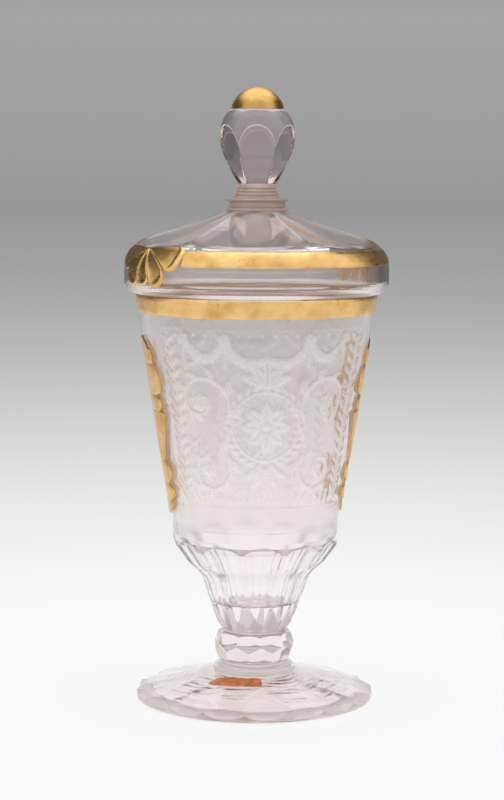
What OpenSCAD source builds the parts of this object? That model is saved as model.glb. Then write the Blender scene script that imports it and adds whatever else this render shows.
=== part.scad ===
// Covered goblet: a footed drinking glass with a loose lid, cut facets and fired gilding.
// Millimetres, +Z up. The origin is the middle of the plane that the foot rests on,
// and the two gilt leaves of the bowl stand on -X and +X.

/* [Foot] */
// Radius of the foot at its rim
foot_r = 46.7; // [42:0.1:54]
// Height of the foot's rim
foot_rim_h = 3.4; // [2.6:0.1:4.5]
// Height of the foot up to its collar
foot_h = 10.7; // [9:0.1:14]
// Radius of the foot where its collar stands
foot_neck_r = 16.9; // [16.5:0.1:20]
// Width of the flat ring that the foot rests on
foot_rest_w = 9; // [5:0.5:14]
// Height of the hollow under the foot
foot_hollow_h = 8; // [0.5:0.1:8.4]
// Number of facets round the rim
foot_bevel_count = 18; // [12:1:24]
// Width of a rim facet, in from the rim
foot_bevel_w = 3.6; // [2:0.1:5]
// Height of the plain edge below the rim facets
foot_edge_h = 0.9; // [0.5:0.1:1.8]
// Number of broad facets on the upper side
foot_petal_count = 9; // [6:1:12]
// Depth of a broad facet at the rim
foot_petal_depth = 0.7; // [0.2:0.1:1.2]
// Radius at which the broad facets start
foot_petal_r = 23; // [22.5:0.5:28]

/* [Stem] */
// Radius of the collar on the foot
foot_collar_r = 16.3; // [14.5:0.1:16.4]
// Height of the collar on the foot
foot_collar_h = 2; // [1.2:0.1:3]
// Radius of the stepped ring under the knop, at its foot
stem_ring_r = 15; // [13.6:0.1:16]
// Height of the stepped ring under the knop
stem_ring_h = 2.7; // [1.8:0.1:4]
// Height of the lower step of that ring
stem_step_h = 1.5; // [0.8:0.1:1.7]
// Radius of the knop's two necks
knop_neck_r = 13; // [11:0.1:13.5]
// Greatest radius of the knop
knop_r = 16.2; // [15:0.1:19]
// Height of the knop
knop_h = 11; // [9:0.1:15]
// Number of facets in each of the knop's two rows
knop_facet_count = 10; // [8:1:12]
// Depth of a knop facet at the knop's middle
knop_facet_depth = 0.8; // [0.3:0.1:1]
// Distance of a knop facet from the axis at the neck
knop_facet_r = 13.6; // [13.5:0.1:14.5]
// Radius of the wafer that joins the knop and the bowl
wafer_r = 12.5; // [11:0.1:13]
// Height of the wafer
wafer_h = 1.2; // [0.8:0.1:2]

/* [Bowl] */
// Height of the bowl, from the wafer to its rim
bowl_h = 132.4; // [120:0.2:145]
// Outer radius of the bowl at its rim
bowl_rim_r = 47.1; // [44:0.1:49]
// Outer radius of the bowl at its shoulder
bowl_shoulder_r = 32.5; // [31.5:0.1:35]
// Height of the shoulder above the bowl's underside
bowl_shoulder_h = 35; // [33.5:0.5:39]
// Height of the upright stretch above the shoulder
bowl_upright_h = 7.5; // [3:0.5:12]
// Radius of the rounding at the shoulder
bowl_shoulder_round = 6; // [4:0.5:8]
// Radius of the bowl's underside
bowl_seat_r = 13.2; // [12.6:0.1:14]
// Radius of the bulb above the underside
bowl_bulb_r = 17.6; // [17:0.1:19]
// Height of the bulb's widest place
bowl_bulb_h = 9.5; // [8:0.5:11]
// Height over which the bulb swells out
bowl_bulb_turn_h = 3.2; // [2.5:0.1:4]
// Wall of the bowl
bowl_wall = 3; // [2:0.1:4]
// Glass under the cavity
bowl_floor = 10; // [8:0.5:14]
// Radius of the flat floor of the cavity
cavity_floor_r = 7.5; // [5:0.5:9]
// Number of flutes round the lower bowl
flute_count = 12; // [10:1:14]
// Distance of a flute from the axis at its lower end
flute_low_r = 15.1; // [14.8:0.1:15.5]
// Height of a flute's lower end
flute_low_h = 2; // [1.5:0.1:2.5]
// Distance of a flute from the axis at the waist
flute_waist_r = 20.1; // [19.5:0.1:21]
// Height of the waist
flute_waist_h = 18.5; // [17.5:0.5:19.5]
// Radius of the hollow sweep above the waist
flute_sweep_r = 14; // [12:0.5:16]
// Flattest slope of the sweep
flute_sweep_deg = 38; // [35:1:42]
// Radius of the swelling turn under the shoulder
flute_swell_r = 16; // [13:0.5:18]
// Slope at which a flute runs out at the shoulder
flute_out_deg = 55; // [50:1:60]
// Height of the small facets round the bulb
bulb_facet_h = 6.6; // [5.5:0.1:7.5]
// Distance of a small facet from the axis at its upper end
bulb_facet_r = 16.4; // [16:0.1:17]

/* [Lid] */
// Greatest radius of the lid
lid_r = 51.6; // [49.6:0.1:56]
// Height of the lid, from its seat to the finial's boss
lid_h = 32; // [30:0.5:38]
// Radius of the lid's rolled edge
lid_edge_round = 5; // [3.5:0.1:6]
// Height at which the lid's side turns into its shoulder
lid_side_h = 9.5; // [8:0.1:11]
// Radius of the lid's shoulder
lid_shoulder_round = 12.5; // [11:0.1:14]
// Angle that the shoulder turns through
lid_shoulder_deg = 72; // [68:1:76]
// Wall of the lid
lid_wall = 3.6; // [2.5:0.1:4.5]
// Glass of the lid under the finial's boss
lid_top_wall = 5.8; // [4.5:0.1:8]
// Height of the thick ring inside the rolled edge
lid_ledge_h = 2.8; // [2:0.1:6.5]
// Rounding between the ledge and the wall
lid_ledge_round = 2.5; // [1.5:0.1:4]
// Number of broad facets on the lid
lid_petal_count = 6; // [6:1:10]
// Depth of a broad facet near the shoulder
lid_petal_depth = 1.4; // [0.4:0.1:1.6]
// Depth of the ring under the lid that drops into the bowl
flange_h = 5.6; // [4:0.2:8]
// Wall of that ring
flange_wall = 3; // [2:0.1:4]
// Play between that ring and the bowl
flange_gap = 0.5; // [0.3:0.1:1]
// Turn of the lid's shells from the bowl's leaves
lid_turn_deg = 28; // [0:1:90]

/* [Finial] */
// Radius of the boss on top of the lid
boss_r = 12.1; // [11:0.1:13.5]
// Height of the boss
boss_h = 3.4; // [2.5:0.1:5]
// Height of the boss's lower step
boss_step_h = 1.2; // [0.6:0.1:2]
// Radius of the thin disc on the boss
disc_r = 12.7; // [11.5:0.1:15]
// Height of the thin disc
disc_h = 2.3; // [1.6:0.1:3.5]
// Radius of the finial's neck ring
neck_r = 8.7; // [8:0.1:10]
// Height of the finial's neck ring
neck_h = 4.9; // [3.5:0.1:6]
// Radius of the finial at its foot
finial_foot_r = 7.2; // [6:0.1:7.8]
// Greatest radius of the finial
finial_r = 14.6; // [13:0.1:17]
// Height of the finial below its cap
finial_h = 28.7; // [26:0.1:34]
// Height of the finial's widest place
finial_wide_h = 18.5; // [17:0.5:20]
// Height over which the finial's taper swells out
finial_taper_h = 10.2; // [9:0.1:12]
// Height of the finial's plain shoulder
finial_shoulder_h = 3; // [2:0.1:5]
// Number of tall facets round the finial
finial_facet_count = 6; // [5:1:8]
// Height of the tall facets
finial_facet_h = 22.5; // [21:0.5:24]
// Radius of the gilt cap
cap_r = 10.1; // [9:0.1:11.5]
// Height of the gilt cap
cap_h = 8.7; // [7:0.1:10]

/* [Gilding] */
// Thickness of the gold on the bands
gilt_t = 0.3; // [0.2:0.05:0.6]
// Gap between the gold and the glass under it
gilt_gap = 0.02; // [0.01:0.01:0.05]
// Height of the carved and gilt relief
relief_t = 1.2; // [0.6:0.1:2]
// Height of the band under the bowl's rim
rim_band_h = 7.4; // [5:0.2:10]
// Bare glass between that band and the rim
rim_band_drop = 0.5; // [0.3:0.1:1.5]
// Height of a leaf on the bowl
leaf_h = 70; // [64:1:76]
// Width of a leaf on the bowl
leaf_w = 33; // [28:1:36]
// Bare glass between the rim and a leaf
leaf_drop = 16.4; // [12:0.2:20]
// Height of the pointed blade of a leaf
leaf_blade_h = 26; // [22:1:30]
// Height of the tapering stalk of a leaf
leaf_stalk_h = 20; // [16:1:24]
// Width of the stalk at its lower end
leaf_neck_w = 16.5; // [12:0.5:20]
// Width of the husks under the stalk
husk_w = 26; // [20:0.5:30]
// Number of lobes on each side of the blade
blade_lobes = 2; // [2:1:4]
// Number of husks on each side
husk_lobes = 3; // [2:1:4]
// Depth of the notches in a leaf, as a share of its width there
leaf_notch = 0.3; // [0.1:0.05:0.4]
// Angle on the lid's shoulder where its band ends, above
lid_band_top_deg = 41; // [36:1:50]
// Angle on the lid's shoulder where its band starts, below
lid_band_low_deg = 11; // [5:1:20]
// Width of a shell on the lid
shell_w = 40; // [32:1:44]
// Height of a shell on the lid
shell_h = 14.5; // [12:0.5:15]
// Height of a shell's lower edge above the lid's seat
shell_low_h = 3.5; // [3:0.5:5]
// Number of lobes of a shell
shell_lobes = 5; // [5:1:9]
// Depth of the notches in a shell, as a share of its size there
shell_notch = 0.14; // [0.05:0.01:0.3]
// Angle that a shell's lobes fan through
shell_fan_deg = 160; // [110:5:160]
// Length of the lacquer patch on the foot, as an angle
patch_deg = 66; // [40:1:90]
// Bare glass between the foot's neck and the lacquer patch
patch_gap = 0.4; // [0.2:0.1:1]
// Width of the lacquer patch
patch_w = 4.2; // [2:0.1:5]
// Thickness of the lacquer patch
patch_t = 0.2; // [0.1:0.05:0.4]

/* [Hidden] */
$fn = 96;

// Heights at which the pieces meet
foot_collar_z = foot_h;
stem_ring_z = foot_collar_z + foot_collar_h;
knop_z = stem_ring_z + stem_ring_h;
wafer_z = knop_z + knop_h;
bowl_z = wafer_z + wafer_h;
lid_z = bowl_z + bowl_h;
boss_z = lid_z + lid_h;
disc_z = boss_z + boss_h;
neck_z = disc_z + disc_h;
finial_z = neck_z + neck_h;
cap_z = finial_z + finial_h;

// The bowl's straight wall, from the upright stretch to the rim
shoulder_z = bowl_z + bowl_shoulder_h;
wall_z = shoulder_z + bowl_upright_h;
wall_lean = (bowl_rim_r - bowl_shoulder_r) / (lid_z - wall_z);
function wall_r(z) = bowl_rim_r - (lid_z - z) * wall_lean;

// The lid's flange fits the bowl's mouth and sets the lid's own mouth
mouth_r = bowl_rim_r - bowl_wall;
flange_r = mouth_r - flange_gap;
flange_low_r = flange_r - flange_h * wall_lean;
lid_mouth_r = flange_r - flange_wall;
flange_mouth_r = flange_low_r - flange_wall;

// Centres of the lid's rounded edge and shoulder, and where the dome leaves the shoulder
lid_edge_c = [lid_r - lid_edge_round, lid_z + lid_edge_round];
lid_shoulder_c = [lid_r - lid_shoulder_round, lid_z + lid_side_h];
lid_dome_end = polar(lid_shoulder_c, lid_shoulder_round, lid_shoulder_deg);

// Turns of the cut patterns about the axis, in degrees
flute_turn = 0;
bulb_turn = 22;
knop_turn = 4;
foot_bevel_turn = 10;
foot_petal_turn = 30;
lid_petal_turn = 20;
finial_turn = 24;
patch_turn = 240;

// Small grooves, edges and margins of the glass
collar_groove = 0.5;
edge_round = 0.6;
boss_margin = 0.4;

// How far a cut runs past what it cuts, how much glass the flutes take off,
// and how many straight steps draw one lobe of an outline
over = 1;
far = 40;
flute_run = 14;
flute_spare = 3.5;
lobe_steps = 6;

colour_glass = [0.86, 0.83, 0.83, 0.45];
colour_gold = [0.83, 0.62, 0.24];
colour_lacquer = [0.80, 0.33, 0.12];

// A point at a distance and angle from a centre, points along an arc and a curve, and a list turned round
function polar(c, r, a) = [c[0] + r * cos(a), c[1] + r * sin(a)];
function arc(c, r, a0, a1, n = 8) = [for (i = [0:n]) polar(c, r, a0 + (a1 - a0) * i / n)];
function curve(p0, p1, p2, n = 8) =
    [for (i = [0:n]) let (t = i / n) p0 * (1 - t) * (1 - t) + p1 * 2 * t * (1 - t) + p2 * t * t];
function rev(points) = [for (i = [len(points) - 1:-1:0]) points[i]];

// Turns an outline of radius and height about the axis
module lathe(outline) {
    rotate_extrude() polygon(outline);
}

// Cuts that are straight across, each the shape of its section in radius and height
module facet_cuts(count, turn, width, section) {
    for (k = [0:count - 1])
        rotate([0, 0, turn + k * 360 / count])
            rotate([90, 0, 0])
                linear_extrude(height = width, center = true) polygon(section);
}

// Foot: a low cone on a flat ring, with facets round its rim and on its upper side
function foot_top(r) = foot_rim_h + (foot_r - r) * (foot_h - foot_rim_h) / (foot_r - foot_neck_r);

module foot() {
    rest_r = foot_r - foot_rest_w;
    bevel_r = foot_r - foot_bevel_w;
    bevel_rise = (foot_top(bevel_r) - foot_edge_h) / foot_bevel_w;
    color(colour_glass)
        difference() {
            lathe([[0, foot_hollow_h], [rest_r, 0], [foot_r, 0], [foot_r, foot_rim_h],
                [foot_neck_r, foot_h], [0, foot_h]]);
            facet_cuts(foot_bevel_count, foot_bevel_turn, foot_r, [
                [foot_r, foot_edge_h],
                [bevel_r - foot_bevel_w, foot_edge_h + 2 * foot_bevel_w * bevel_rise],
                [foot_r + far, foot_edge_h + 2 * foot_bevel_w * bevel_rise],
                [foot_r + far, foot_edge_h]]);
            facet_cuts(foot_petal_count, foot_petal_turn, 2 * foot_r, [
                [foot_petal_r, foot_top(foot_petal_r)],
                [foot_r, foot_rim_h - foot_petal_depth],
                [foot_r + far, foot_rim_h - foot_petal_depth],
                [foot_r + far, foot_h + far],
                [foot_petal_r, foot_h + far]]);
        }
}

// Collar on the foot, and the stepped ring that carries the knop
module foot_collar() {
    z0 = foot_collar_z;
    z1 = stem_ring_z;
    color(colour_glass)
        lathe([[0, z0], [foot_collar_r - collar_groove, z0], [foot_collar_r, z0 + collar_groove],
            [foot_collar_r, z1 - collar_groove], [foot_collar_r - collar_groove, z1], [0, z1]]);
}

module stem_ring() {
    z0 = stem_ring_z;
    z1 = knop_z;
    step_z = z0 + stem_step_h;
    color(colour_glass)
        lathe([[0, z0], [stem_ring_r - collar_groove, z0], [stem_ring_r, z0 + collar_groove],
            [stem_ring_r - collar_groove, step_z], [knop_neck_r + collar_groove, step_z + collar_groove],
            [knop_neck_r, z1], [0, z1]]);
}

// Knop: a squat ball with two rows of facets, the upper row set half a step round
module stem_knop() {
    z0 = knop_z;
    z1 = wafer_z;
    mid_z = (z0 + z1) / 2;
    half_h = knop_h / 2;
    swell = knop_r - knop_neck_r;
    cut_r = knop_r - knop_facet_depth;
    lean = (cut_r - knop_facet_r) / half_h;
    wide_r = cut_r + lean * over;
    thin_r = knop_facet_r - lean * over;
    out_r = knop_r + far;
    color(colour_glass)
        difference() {
            lathe(concat([[0, z0]],
                [for (a = [-90:15:90]) [knop_neck_r + swell * cos(a), mid_z + half_h * sin(a)]],
                [[0, z1]]));
            facet_cuts(knop_facet_count, knop_turn, 2 * knop_r,
                [[wide_r, mid_z - over], [thin_r, z1 + over], [out_r, z1 + over], [out_r, mid_z - over]]);
            facet_cuts(knop_facet_count, knop_turn + 180 / knop_facet_count, 2 * knop_r,
                [[wide_r, mid_z + over], [thin_r, z0 - over], [out_r, z0 - over], [out_r, mid_z + over]]);
        }
}

// Wafer of glass between the knop and the bowl
module bowl_wafer() {
    color(colour_glass)
        lathe(concat([[0, wafer_z]],
            arc([wafer_r - wafer_h / 2, wafer_z + wafer_h / 2], wafer_h / 2, -90, 90, 6),
            [[0, bowl_z]]));
}

// Bowl: bulb, fluted waist, shoulder and a straight leaning wall round one cavity
flute_low = [flute_low_r, bowl_z + flute_low_h];
flute_waist = [flute_waist_r, bowl_z + flute_waist_h];
flute_lean = atan2(flute_waist[1] - flute_low[1], flute_waist[0] - flute_low[0]);
flute_sweep_c = polar(flute_waist, flute_sweep_r, flute_lean - 90);
flute_sweep_end = polar(flute_sweep_c, flute_sweep_r, flute_sweep_deg + 90);
flute_swell_c = polar(flute_sweep_end, flute_swell_r, flute_sweep_deg + 90);
flute_swell_end = polar(flute_swell_c, flute_swell_r, flute_out_deg - 90);
flute_out = polar(flute_swell_end, flute_run, flute_out_deg);
flute_section = concat([flute_low],
    arc(flute_sweep_c, flute_sweep_r, flute_lean + 90, flute_sweep_deg + 90, 5),
    arc(flute_swell_c, flute_swell_r, flute_sweep_deg - 90, flute_out_deg - 90, 3), [flute_out]);

module bowl_outside() {
    round_c = [bowl_shoulder_r - bowl_shoulder_round, shoulder_z];
    lathe(concat(
        [[0, bowl_z]],
        curve([bowl_seat_r, bowl_z], [bowl_bulb_r, bowl_z + bowl_bulb_turn_h],
            [bowl_bulb_r, bowl_z + bowl_bulb_h], 5),
        [flute_waist + [flute_spare, 0], flute_sweep_end + [flute_spare, 0]],
        arc(round_c, bowl_shoulder_round, -60, 0, 5),
        [[bowl_shoulder_r, wall_z], [bowl_rim_r, lid_z], [0, lid_z]]));
}

module bowl_cavity() {
    floor_z = bowl_z + bowl_floor;
    inner_r = bowl_shoulder_r - bowl_wall;
    sweep_in = arc(flute_sweep_c, flute_sweep_r + bowl_wall, flute_lean + 90, flute_sweep_deg + 90, 5);
    lathe(concat(
        [[0, floor_z]],
        curve([cavity_floor_r, floor_z], [sweep_in[0][0] - bowl_wall, floor_z], sweep_in[0], 5),
        sweep_in,
        curve(sweep_in[5], [inner_r, shoulder_z - bowl_shoulder_round / 2], [inner_r, shoulder_z], 5),
        [[inner_r, wall_z], [mouth_r, lid_z], [mouth_r, lid_z + over], [0, lid_z + over]]));
}

module bowl() {
    facet_low = [bowl_seat_r, bowl_z];
    facet_high = [bulb_facet_r, bowl_z + bulb_facet_h];
    facet_out = facet_high + (facet_high - facet_low) / 2;
    color(colour_glass)
        difference() {
            bowl_outside();
            bowl_cavity();
            facet_cuts(flute_count, flute_turn, bowl_shoulder_r, concat(flute_section,
                [[flute_out[0] + far, flute_out[1]], [flute_out[0] + far, flute_low[1]]]));
            facet_cuts(flute_count, bulb_turn, bowl_bulb_r,
                [facet_low, facet_out, [bowl_bulb_r + far, facet_out[1]], [bowl_bulb_r + far, bowl_z]]);
        }
}

// Gold band under the bowl's rim
module gilt_rim_band() {
    z1 = lid_z - rim_band_drop;
    z0 = z1 - rim_band_h;
    color(colour_gold)
        lathe([[wall_r(z0) + gilt_gap, z0], [wall_r(z0) + gilt_gap + gilt_t, z0],
            [wall_r(z1) + gilt_gap + gilt_t, z1], [wall_r(z1) + gilt_gap, z1]]);
}

// Share of the full width at a place along a row of lobes, where 0 and 1 are its ends
function scallop(t, lobes, notch) = 1 - notch * (1 - abs(sin(180 * lobes * t)));

// Outline of a leaf, from its lower tip up: husks, a tapering stalk and a pointed, lobed blade
module leaf_outline() {
    husk_h = leaf_h - leaf_blade_h - leaf_stalk_h;
    blade_z = husk_h + leaf_stalk_h;
    husk_steps = lobe_steps * husk_lobes;
    blade_steps = lobe_steps * blade_lobes;
    husks = [for (i = [1:husk_steps - 1])
        let (t = i / husk_steps)
        [husk_w / 2 * sqrt(sin(min(90, 180 * t))) * scallop(t, husk_lobes, leaf_notch), husk_h * t]];
    stalk = [[leaf_neck_w / 2, husk_h], [leaf_w / 2, blade_z - over]];
    blade = [for (i = [0:blade_steps - 1])
        let (t = i / blade_steps)
        [leaf_w / 2 * sqrt(cos(90 * t)) * scallop(t, blade_lobes, leaf_notch), blade_z + leaf_blade_h * t]];
    side = concat(husks, stalk, blade);
    polygon(concat([[0, 0]], side, [[0, leaf_h]], [for (p = rev(side)) [-p[0], p[1]]]));
}

// Carved leaf, a plate that follows the bowl's wall
module gilt_leaf(turn) {
    top_z = lid_z - leaf_drop;
    low_z = top_z - leaf_h;
    plate_z0 = low_z - over;
    plate_z1 = top_z + over;
    color(colour_gold)
        rotate([0, 0, turn])
            intersection() {
                lathe([[wall_r(plate_z0) + gilt_gap, plate_z0], [wall_r(plate_z0) + relief_t, plate_z0],
                    [wall_r(plate_z1) + relief_t, plate_z1], [wall_r(plate_z1) + gilt_gap, plate_z1]]);
                translate([0, 0, low_z])
                    rotate([90, 0, 90])
                        linear_extrude(height = bowl_rim_r + far) leaf_outline();
            }
}

module gilt_leaf_left() { gilt_leaf(180); }
module gilt_leaf_right() { gilt_leaf(0); }

// Plain lacquer patch on the foot, beside the collar
module lacquer_patch() {
    r0 = foot_neck_r + patch_gap;
    r1 = r0 + patch_w;
    color(colour_lacquer)
        rotate([0, 0, patch_turn - patch_deg / 2])
            rotate_extrude(angle = patch_deg)
                polygon([[r0, foot_top(r0) + gilt_gap], [r1, foot_top(r1) + gilt_gap],
                    [r1, foot_top(r1) + gilt_gap + patch_t], [r0, foot_top(r0) + gilt_gap + patch_t]]);
}

// Lid: rolled edge, rounded shoulder and a low dome with broad facets, hollow inside
module lid_dome() {
    dome_top = [boss_r + boss_margin, boss_z];
    ledge_z = lid_z + lid_ledge_h;
    ledge_c = [lid_r - lid_wall - lid_ledge_round, ledge_z + lid_ledge_round];
    petal_top = dome_top + [boss_margin, 0];
    petal_fall = lid_dome_end - [0, lid_petal_depth] - petal_top;
    petal_end = petal_top + 2 * petal_fall;
    color(colour_glass)
        difference() {
            lathe(concat(
                [[0, lid_z]],
                arc(lid_edge_c, lid_edge_round, -90, 0),
                arc(lid_shoulder_c, lid_shoulder_round, 0, lid_shoulder_deg),
                [dome_top, [0, boss_z]]));
            lathe(concat(
                [[0, lid_z - over], [lid_mouth_r, lid_z - over], [lid_mouth_r, ledge_z - over],
                    [lid_mouth_r + over, ledge_z]],
                arc(ledge_c, lid_ledge_round, -90, 0, 5),
                arc(lid_shoulder_c, lid_shoulder_round - lid_wall, 0, lid_shoulder_deg, 6),
                [[boss_r, boss_z - lid_top_wall], [0, boss_z - lid_top_wall]]));
            facet_cuts(lid_petal_count, lid_petal_turn, 2 * lid_r,
                [petal_top, petal_end, [petal_end[0], boss_z + over], [petal_top[0], boss_z + over]]);
        }
}

// Ring under the lid that drops into the bowl's mouth
module lid_flange() {
    z0 = lid_z - flange_h;
    color(colour_glass)
        lathe([[flange_mouth_r, z0], [flange_low_r - edge_round, z0], [flange_low_r, z0 + edge_round],
            [flange_r, lid_z], [lid_mouth_r, lid_z]]);
}

// Outline of the lid's edge and shoulder, moved out by a distance
function lid_side(out, a0, a1) = arc(lid_shoulder_c, lid_shoulder_round + out, a0, a1);
function lid_edge(out) = arc(lid_edge_c, lid_edge_round + out, -90, 0);

// Outline of a shell: lobes that fan down from its top
module shell_outline() {
    steps = lobe_steps * shell_lobes;
    lobes = [for (i = [0:steps])
        let (t = i / steps)
        let (a = -90 + shell_fan_deg * (t - 1 / 2))
        [shell_w / 2 * cos(a), shell_h * sin(a)] * scallop(t, shell_lobes, shell_notch) + [0, shell_h]];
    polygon(concat(lobes, [[0, shell_h]]));
}

module shell_prism() {
    translate([0, 0, lid_z + shell_low_h])
        rotate([90, 0, 90])
            linear_extrude(height = lid_r + far) shell_outline();
}

// Carved shell, a plate that follows the lid's edge and shoulder
module gilt_shell(turn) {
    color(colour_gold)
        rotate([0, 0, lid_turn_deg + turn])
            intersection() {
                lathe(concat(lid_edge(gilt_gap), lid_side(gilt_gap, 0, lid_shoulder_deg),
                    lid_side(relief_t, lid_shoulder_deg, 0), rev(lid_edge(relief_t))));
                shell_prism();
            }
}

// Gold band round the lid's shoulder, which stops at the shells
module gilt_lid_band() {
    color(colour_gold)
        difference() {
            lathe(concat(lid_side(gilt_gap, lid_band_low_deg, lid_band_top_deg),
                lid_side(gilt_gap + gilt_t, lid_band_top_deg, lid_band_low_deg)));
            for (turn = [0, 180])
                rotate([0, 0, lid_turn_deg + turn]) shell_prism();
        }
}

module gilt_shell_front() { gilt_shell(180); }
module gilt_shell_back() { gilt_shell(0); }

// Boss on the lid, thin disc, and the neck ring that carries the finial
module lid_boss() {
    z0 = boss_z;
    z1 = disc_z;
    color(colour_glass)
        lathe([[0, z0], [boss_r, z0], [boss_r - collar_groove, z0 + boss_step_h],
            [boss_r - 3 * collar_groove, z0 + boss_step_h], [boss_r - 2 * collar_groove, z1], [0, z1]]);
}

module finial_disc() {
    z0 = disc_z;
    z1 = neck_z;
    edge_z = z0 + disc_h / 2;
    color(colour_glass)
        lathe([[0, z0], [boss_r - 2 * collar_groove, z0], [disc_r, edge_z - collar_groove / 2],
            [disc_r, edge_z + collar_groove / 2], [neck_r + collar_groove, z1], [0, z1]]);
}

module finial_neck() {
    z0 = neck_z;
    z1 = finial_z;
    step_z = z0 + neck_h / 2;
    ring_r = finial_foot_r + collar_groove;
    color(colour_glass)
        lathe([[0, z0], [neck_r, z0], [neck_r, step_z - collar_groove], [ring_r, step_z],
            [ring_r, z1 - collar_groove], [finial_foot_r, z1], [0, z1]]);
}

// Finial: a baluster with tall facets that end in arches below its plain shoulder
module finial() {
    z0 = finial_z;
    z1 = cap_z;
    wide_z = z0 + finial_wide_h;
    narrow = cos(180 / finial_facet_count);
    arch_z = z0 + finial_facet_h;
    color(colour_glass)
        difference() {
            lathe(concat([[0, z0]],
                curve([finial_foot_r, z0], [finial_r, z0 + finial_taper_h], [finial_r, wide_z]),
                curve([finial_r, wide_z], [finial_r, z1 - finial_shoulder_h], [cap_r, z1]),
                [[0, z1]]));
            facet_cuts(finial_facet_count, finial_turn, 2 * finial_r, concat(
                curve([finial_foot_r * narrow, z0], [finial_r * narrow, z0 + finial_taper_h],
                    [finial_r, arch_z]),
                [[finial_r + far, arch_z], [finial_r + far, z0]]));
        }
}

// Gilt cap on the finial
module gilt_finial_cap() {
    color(colour_gold)
        lathe(concat([[0, cap_z]],
            [for (a = [0:9:90]) [cap_r * cos(a), cap_z + cap_h * sin(a)]]));
}

foot();
foot_collar();
stem_ring();
stem_knop();
bowl_wafer();
bowl();
gilt_rim_band();
gilt_leaf_left();
gilt_leaf_right();
lacquer_patch();
lid_dome();
lid_flange();
gilt_lid_band();
gilt_shell_front();
gilt_shell_back();
lid_boss();
finial_disc();
finial_neck();
finial();
gilt_finial_cap();
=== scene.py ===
"""A covered glass goblet with cut facets, matt engraving and fired gilding, on a pale studio floor."""

import math

import bpy
import numpy as np
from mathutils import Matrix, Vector


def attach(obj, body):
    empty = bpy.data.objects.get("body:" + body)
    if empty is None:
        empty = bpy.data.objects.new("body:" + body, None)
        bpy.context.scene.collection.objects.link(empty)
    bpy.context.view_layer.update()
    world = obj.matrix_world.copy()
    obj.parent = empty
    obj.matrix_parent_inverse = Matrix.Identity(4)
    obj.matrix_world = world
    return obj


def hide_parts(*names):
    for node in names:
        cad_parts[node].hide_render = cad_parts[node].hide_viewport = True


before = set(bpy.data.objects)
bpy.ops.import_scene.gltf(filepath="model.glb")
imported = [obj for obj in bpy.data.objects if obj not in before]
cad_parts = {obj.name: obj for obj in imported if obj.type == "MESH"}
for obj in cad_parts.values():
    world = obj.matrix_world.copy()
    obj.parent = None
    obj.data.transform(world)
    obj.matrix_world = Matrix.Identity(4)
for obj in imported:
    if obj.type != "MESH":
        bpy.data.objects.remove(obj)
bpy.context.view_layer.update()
MM = 0.001

# Heights in millimetres at which the gathers of glass meet, how far each sinks into the next, and the bowl's wall
FOOT_Z, COLLAR_Z, RING_Z, KNOP_Z, WAFER_Z = 10.7, 12.7, 15.4, 26.4, 27.6
RIM_Z, BOSS_Z, DISC_Z, NECK_Z, FINIAL_Z, CAP_Z, TOP_Z = 160.0, 192.0, 195.4, 197.7, 202.6, 231.3, 240.0
SINK = 0.02
RIM_R, SHOULDER_R, WALL_Z, SHOULDER_Z = 47.1, 32.5, 70.1, 62.6
LEAN = (RIM_R - SHOULDER_R) / (RIM_Z - WALL_Z)


def wall_r(z):
    """Outer radius of the bowl's leaning wall."""
    return RIM_R - (RIM_Z - z) * LEAN


# Drawing helpers, all in millimetres of radius and height
def polar(c, r, a):
    return c[0] + r * math.cos(math.radians(a)), c[1] + r * math.sin(math.radians(a))


def arc(c, r, a0, a1, n):
    return [polar(c, r, a0 + (a1 - a0) * i / n) for i in range(n + 1)]


def bow(p0, p1, p2, n):
    ts = [i / n for i in range(n + 1)]
    return [tuple(a * (1 - t) ** 2 + 2 * b * t * (1 - t) + c * t * t for a, b, c in zip(p0, p1, p2)) for t in ts]


def straight(p0, p1, n):
    return [tuple(a + (b - a) * i / n for a, b in zip(p0, p1)) for i in range(n + 1)]


# Modelling helpers
def deselect():
    if bpy.context.mode != "OBJECT":
        bpy.ops.object.mode_set(mode="OBJECT")
    bpy.ops.object.select_all(action="DESELECT")


def close_up(piece):
    """Merges the seam and the poles, and turns the faces outwards."""
    bpy.ops.object.mode_set(mode="EDIT")
    bpy.ops.mesh.select_all(action="SELECT")
    bpy.ops.mesh.remove_doubles(threshold=2e-6)
    bpy.ops.mesh.normals_make_consistent(inside=False)
    bpy.ops.object.mode_set(mode="OBJECT")
    bpy.ops.object.transform_apply(location=True, rotation=True, scale=True)
    return piece


def drawn(name, outline):
    """Draws an outline by extruding one point along it, and leaves it selected in edit mode."""
    deselect()
    r, z = outline[0]
    bpy.ops.mesh.primitive_plane_add(size=MM, location=(r * MM, 0, z * MM))
    piece = bpy.context.object
    piece.name = piece.data.name = name
    bpy.ops.object.mode_set(mode="EDIT")
    bpy.ops.mesh.merge(type="CENTER")
    for (r0, z0), (r1, z1) in zip(outline, outline[1:]):
        step = ((r1 - r0) * MM, 0, (z1 - z0) * MM)
        bpy.ops.mesh.extrude_region_move(TRANSFORM_OT_translate={"value": step})
    bpy.ops.mesh.select_all(action="SELECT")
    return piece


def turned(name, outline, steps):
    """Spins an outline about the goblet's axis."""
    piece = drawn(name, outline)
    bpy.ops.mesh.spin(steps=steps, angle=2 * math.pi, center=(0, 0, 0), axis=(0, 0, 1))
    bpy.ops.object.mode_set(mode="OBJECT")
    return close_up(piece)


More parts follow.
